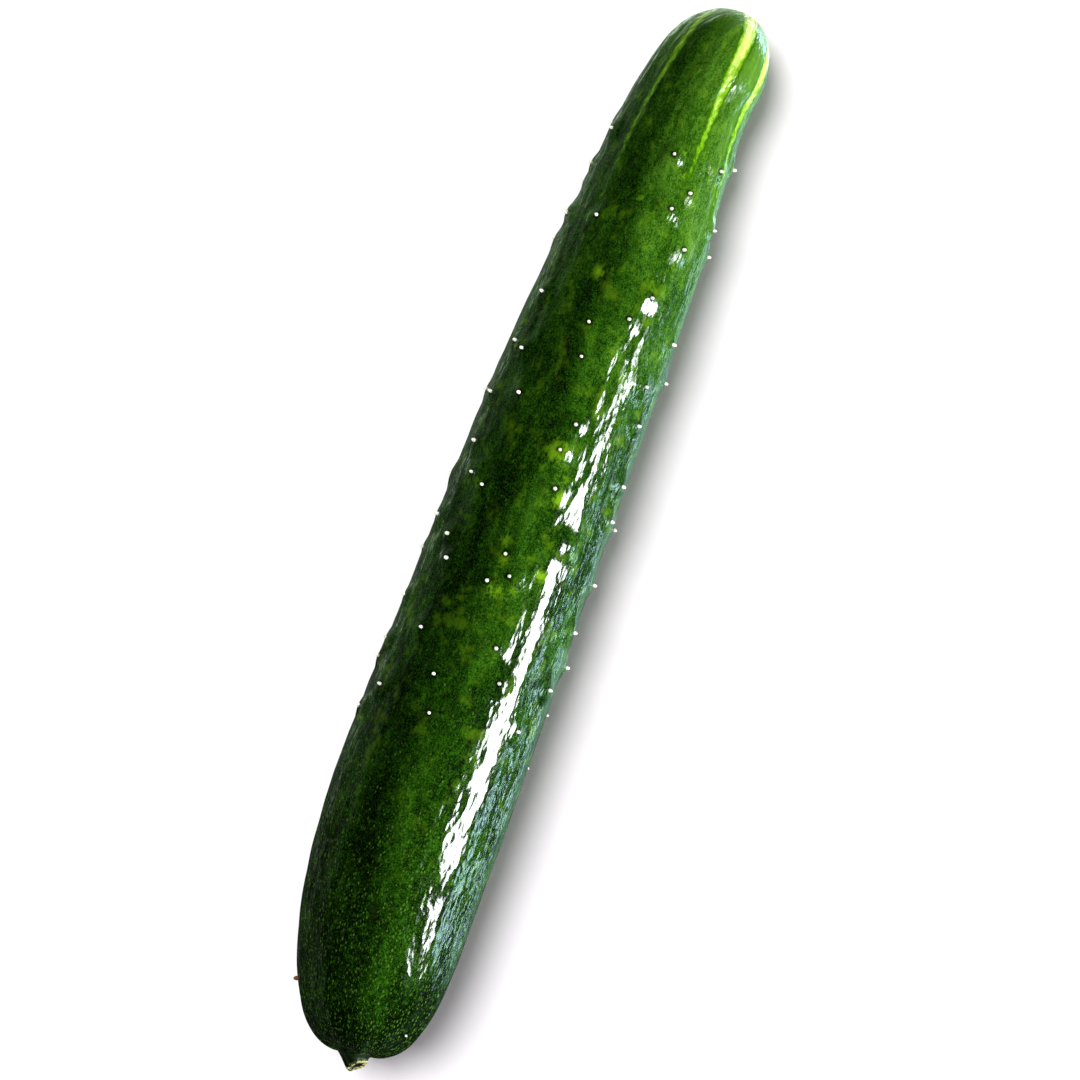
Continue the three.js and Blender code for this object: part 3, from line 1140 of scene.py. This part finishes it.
@dataclass
class StalkStub:
    """The stub of the stalk: a ridged neck that flares into the fruit, bends up and is cut across.

    Each ring of the cut has its share of the pith's radius, its depth, and how much it is rim and pith.
    """

    form: FruitForm
    finish: StalkFinish = field(default_factory=StalkFinish)
    neck_radius: float = 1.95
    flare: float = 1.75
    flare_length: float = 1.1
    length: float = 2.7
    root_depth: float = 1.1
    ridges: int = 5
    ridge_share: float = 0.09
    lean: float = 30
    rise: float = 24
    pith_share: float = 0.62
    pith_depth: float = 0.45
    rings: int = 16
    sides: int = 90
    cut_rings: tuple[tuple[float, ...], ...] = (
        (1.3, 0.0, 1.0, 0.0), (1.0, 0.06, 0.7, 0.1), (0.95, 0.3, 0.0, 0.9),
        (0.8, 0.42, 0.0, 1.0), (0.4, 0.45, 0.0, 1.0),
    )
    rim_from: float = 0.8
    cut_ridge_share: float = 0.03

    def build(self, shift: Array) -> Piece:
        """Makes the stub.

        Args:
            shift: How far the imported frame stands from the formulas' own origin.

        Returns:
            The stub, dressed and riding.
        """
        end = np.array([self.form.stem_end])
        along, side, up = (Vector(axis[0]) for axis in self.form.axes(end)[:3])
        turns = [2 * math.pi * k / self.sides for k in range(self.sides)]

        def bend(direction: Vector, share: float) -> Vector:
            """A direction turned by a share of the stub's whole bend."""
            leaned = Matrix.Rotation(math.radians(self.lean) * share, 3, up) @ direction
            return Matrix.Rotation(math.radians(self.rise) * share, 3, side) @ leaned

        def ring(middle: Vector, share: float, radius: float, ridged: float) -> list[Vector]:
            """One ring of the stub, square to its bend.

            Args:
                middle: Its middle.
                share: The share of the bend there.
                radius: Its radius.
                ridged: How far its ridges stand out, as a share of the radius.

            Returns:
                Its points.
            """
            high, across = bend(up, share), bend(side, share)
            reach = [radius * (1 + ridged * math.cos(self.ridges * turn)) for turn in turns]
            return [middle + high * r * math.cos(t) + across * r * math.sin(t) for r, t in zip(reach, turns)]

        stride = self.length / (self.rings - 1)
        middle = Vector(self.form.centre(end)[0])
        foot = middle + along * self.root_depth
        rings = [ring(foot, 0, self.neck_radius + self.flare, self.ridge_share)]
        rim, pith = [0.0], [0.0]
        for i in range(self.rings):
            share = i / (self.rings - 1)
            if i > 0:
                middle = middle + bend(-along, share) * stride
            radius = self.neck_radius + self.flare * math.exp(-i * stride / self.flare_length)
            rings.append(ring(middle, share, radius, self.ridge_share))
            rim.append(float(rise(share, (self.rim_from, 1.0))))
            pith.append(0.0)
        inner = self.neck_radius * self.pith_share
        inwards = bend(along, 1)
        for share, depth, rim_share, pith_share in self.cut_rings:
            rings.append(ring(middle + inwards * depth, 1, inner * share, self.cut_ridge_share))
            rim.append(rim_share)
            pith.append(pith_share)
        pole = middle + inwards * self.pith_depth
        points = np.array([foot, *(point for one in rings for point in one), pole])
        steps = np.repeat(np.arange(len(rings)) * stride, self.sides)
        way = np.concatenate([[0], steps, [len(rings) * stride]])
        turn = np.concatenate([[0], np.tile(turns, len(rings)), [0]])
        unrolled = np.stack([way, self.neck_radius * np.cos(turn), self.neck_radius * np.sin(turn)], axis=-1)
        marks = {
            Mark.PLACE: unrolled,
            Mark.RIM: np.concatenate([[0.0], np.repeat(rim, self.sides), [0.0]]),
            Mark.PITH: np.concatenate([[0.0], np.repeat(pith, self.sides), [1.0]]),
        }
        faces = ring_faces(len(rings), self.sides)
        piece = grown_piece("stalk_stub_fine", points + shift, faces, marks, self.finish.material())
        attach(piece, "root")
        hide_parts("stalk_stub")
        return piece


@dataclass(frozen=True)
class Panel:
    """A flat rectangular lamp at the window, which the gloss mirrors or which lights the skin's shade."""

    name: str
    shift: Triple
    length: float
    height: float
    radiance: float
    tint: Triple = (0.93, 1.0, 0.99)
    roll: float = 0.0
    lights_shade: bool = False

    def build(self, middle: Vector, towards: Vector) -> Piece:
        """Makes the lamp; its length runs along the fruit.

        Args:
            middle: The window's middle.
            towards: The direction in which the window stands.

        Returns:
            The lamp.
        """
        data = bpy.data.lights.new(self.name, "AREA")
        data.shape = "RECTANGLE"
        data.size = self.length
        data.size_y = self.height
        data.energy = self.radiance * math.pi * self.length * self.height
        data.color = self.tint
        lamp = placed(self.name, data)
        lamp.location = middle + Vector(self.shift)
        turned = towards.to_track_quat("Z", "Y").to_matrix()
        lamp.rotation_euler = (turned @ Matrix.Rotation(math.radians(self.roll), 3, "Z")).to_euler()
        lamp.visible_camera = False
        lamp.visible_diffuse = self.lights_shade
        lamp.visible_glossy = not self.lights_shade
        return lamp


@dataclass(frozen=True)
class Sky:
    """Pale surroundings, which the skin's gloss mirrors as dark above, and bright and lined below.

    Ranges named after a direction say where along it something rises or falls, from -1 to 1. The gloss has
    a veil that the lines brighten, lines of light on the near side, and a rim from the table's level.
    """

    fill: float = 0.3
    line_place: Triple = (1.0, 0.0, 8.0)
    line_cut: Range = (0.55, 0.7)
    veil: Range = (0.6, 0.015)
    veil_heights: Range = (-0.5, 0.25)
    veil_along: Range = (-0.2, 0.3)
    veil_shares: Range = (0.25, 2.0)
    veil_plain: float = 0.25
    veil_lined: float = 2.7
    lines: Range = (3.0, 105.0)
    line_heights: Range = (-0.75, -0.05)
    line_top: Range = (-0.12, 0.06)
    line_along: Range = (-0.2, 0.05)
    rim: float = 0.6
    rim_heights: Range = (-0.85, -0.6)
    near_across: Range = (-0.45, -0.1)
    far_tint: Colour = (0.76, 1.0, 0.72, 1.0)
    near_tint: Colour = (0.6, 0.94, 1.0, 1.0)
    plain_tint: Colour = (1.0, 1.0, 1.0, 1.0)

    def build(self) -> None:
        """Makes the surroundings and gives them to the scene."""
        world = bpy.data.worlds.new("surroundings")
        world.use_nodes = True
        sketch = NodeSketch(world.node_tree)
        rays = sketch.node("LightPath", {}).outputs
        direction = sketch.node("TexCoord", {}).outputs["Generated"]
        along, across, height = sketch.node("SeparateXYZ", {0: direction}).outputs
        lines = sketch.noise(sketch.stretched(direction, self.line_place), 1.0, 0.5)
        lines = sketch.between(lines, self.line_cut)
        near = sketch.between(across, self.near_across, (1.0, 0.0))
        veil = sketch.product(
            sketch.between(height, self.veil_heights, self.veil),
            sketch.between(along, self.veil_along, self.veil_shares),
            sketch.math("ADD", sketch.product(lines, self.veil_lined), self.veil_plain),
        )
        lined = sketch.product(
            lines,
            sketch.between(height, self.line_heights, self.lines),
            sketch.between(height, self.line_top, (1.0, 0.0)),
        )
        lit = sketch.math("ADD", lined, sketch.between(height, self.rim_heights, (self.rim, 0.0)))
        lit = sketch.product(lit, near, sketch.between(along, self.line_along))
        gloss = sketch.math("SUBTRACT", sketch.math("ADD", veil, lit), self.fill)
        strength = sketch.math("ADD", sketch.product(rays["Is Glossy Ray"], gloss), self.fill)
        tint = sketch.mix(near, self.far_tint, self.near_tint)
        inputs = {
            "Color": sketch.mix(rays["Is Glossy Ray"], self.plain_tint, tint),
            "Strength": sketch.math("MAXIMUM", strength, rays["Is Camera Ray"]),
        }
        sketch.feed(world.node_tree.nodes["Background"], inputs)
        bpy.context.scene.world = world


@dataclass
class Studio:
    """A white table, the lights round it and the camera above it. Its lengths are in metres."""

    sky: Sky = field(default_factory=Sky)
    frame_width: float = 0.2108
    aim: Triple = (-0.00056, -0.00399, 0.0164)
    distance: float = 0.75
    fruit_turn: float = 69.4
    sensor_mm: float = 36
    table_size: float = 6.0
    table_white: Colour = (0.9, 0.875, 0.9, 1.0)
    key_strength: float = 3.1
    key_spread: float = 25
    key_tilt: float = 18
    key_azimuth: float = 66
    shade_strength: float = 0.23
    shade_spread: float = 130
    shade_tint: Triple = (1.0, 0.78, 1.0)
    window_aim: Triple = (0.0, 0.0, 0.02)
    window_elevation: float = 28.5
    window_distance: float = 0.9
    panels: tuple[Panel, ...] = (
        Panel("window", (-0.038, 0, 0), length=0.325, height=0.34, radiance=42, roll=-18),
        Panel("side pane", (0.18, 0, -0.04), length=0.11, height=0.07, radiance=14),
        Panel("daylight", (0, 0, 0), 0.6, 0.4, radiance=16.5, tint=(1.0, 1.0, 1.0), lights_shade=True),
    )

    def build(self, pieces: list[Piece]) -> None:
        """Makes the table, the lights, the surroundings and the camera.

        Args:
            pieces: The cucumber's pieces, which have lights of their own.
        """
        table = self._table()
        key = self._sun("key", self.key_strength, self.key_spread, self.key_tilt)
        shade = self._sun("shade", self.shade_strength, self.shade_spread, 0.0)
        shade.data.color = self.shade_tint
        bright = [piece for piece in pieces if piece.name == Prickles.NAME]
        for lamp in (key, shade):
            self._light_only(lamp, [table, *bright])
        lift = math.radians(self.window_elevation)
        towards = Vector((0, -math.cos(lift), math.sin(lift)))
        middle = Vector(self.window_aim) + towards * self.window_distance
        for panel in self.panels:
            self._light_only(panel.build(middle, towards), pieces)
        self.sky.build()
        self._camera()
        bpy.context.scene.view_settings.view_transform = "Standard"

    def _table(self) -> Piece:
        """The white table.

        Returns:
            The table.
        """
        half = self.table_size / 2
        corners = [(-half, -half, 0), (half, -half, 0), (half, half, 0), (-half, half, 0)]
        mesh = bpy.data.meshes.new("table")
        mesh.from_pydata(corners, [], [(0, 1, 2, 3)])
        material, sketch, surface = new_material("white table")
        sketch.feed(surface, {"Base Color": self.table_white, "Roughness": 1.0, "Specular IOR Level": 0.0})
        mesh.materials.append(material)
        table = placed("table", mesh)
        table.visible_glossy = False
        return table

    def _sun(self, name: str, strength: float, spread: float, tilt: float) -> Piece:
        """A soft light from far above.

        Args:
            name: Its name.
            strength: What falls on a surface that faces it.
            spread: How wide it looks, in degrees.
            tilt: How far it leans from straight above, in degrees.

        Returns:
            The lamp.
        """
        data = bpy.data.lights.new(name, "SUN")
        data.energy = strength
        data.angle = math.radians(spread)
        lamp = placed(name, data)
        lean, azimuth = math.radians(tilt), math.radians(self.key_azimuth)
        sideways = math.sin(lean)
        towards = Vector((sideways * math.cos(azimuth), sideways * math.sin(azimuth), math.cos(lean)))
        lamp.rotation_euler = towards.to_track_quat("Z", "Y").to_euler()
        lamp.visible_glossy = False
        return lamp

    @staticmethod
    def _light_only(lamp: Piece, objects: list[Piece]) -> None:
        """Keeps a lamp's light to some objects; it still casts every shadow.

        Args:
            lamp: The lamp.
            objects: What it lights.
        """
        lit = bpy.data.collections.new(f"lit by {lamp.name}")
        for one in objects:
            lit.objects.link(one)
        lamp.light_linking.receiver_collection = lit

    def _camera(self) -> None:
        """The camera, straight above, with the fruit across its frame as photographed."""
        data = bpy.data.cameras.new("camera")
        data.sensor_width = self.sensor_mm
        data.lens = self.sensor_mm * self.distance / self.frame_width
        camera = placed("camera", data)
        camera.location = Vector(self.aim) + Vector((0, 0, self.distance))
        camera.rotation_euler = (0, 0, -math.radians(self.fruit_turn))
        bpy.context.scene.camera = camera


def frame_shift(form: FruitForm, warts: WartField, steps: int = 1200, sides: int = 240) -> Array:
    """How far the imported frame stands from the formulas' own origin, by the fruit's box.

    Args:
        form: The fruit's shape.
        warts: Its warts and prickles.
        steps: How many steps along the fruit its own box is measured by.
        sides: How many places round each.

    Returns:
        The shift along x, y and z, in millimetres.
    """
    x = np.repeat(form.walk(steps)[0], sides)
    angle = np.tile(np.arange(sides) * 2 * np.pi / sides, steps + 1)
    skin, _ = form.points(x, angle, form.ribs(x, angle) + warts.relief(form, x, angle))
    at, turn = warts.prickles().T
    tips, _ = form.points(at, turn, form.ribs(at, turn) + warts.relief(form, at, turn) + Prickles.height)
    both = np.concatenate([skin, tips])
    low, high = (np.array(corner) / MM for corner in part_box("fruit"))
    sideways = (low[1] + high[1] - both[:, 1].min() - both[:, 1].max()) / 2
    return np.array([high[0] - both[:, 0].max(), sideways, 0.0])


def main() -> None:
    logging.basicConfig(level=logging.INFO, format="%(name)s: %(message)s")
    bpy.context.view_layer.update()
    form = FruitForm()
    warts = WartField()
    shift = frame_shift(form, warts)
    LOG.info("frame shift %s mm", np.round(shift, 3).tolist())
    pieces = []
    for part in (FruitSkin(form, warts), Prickles(form, warts), StalkStub(form)):
        piece = part.build(shift)
        pieces.append(piece)
        LOG.info("%s: %d faces", piece.name, len(piece.data.polygons))
    Studio().build(pieces)
    LOG.info("studio built")


if __name__ == "__main__":
    main()
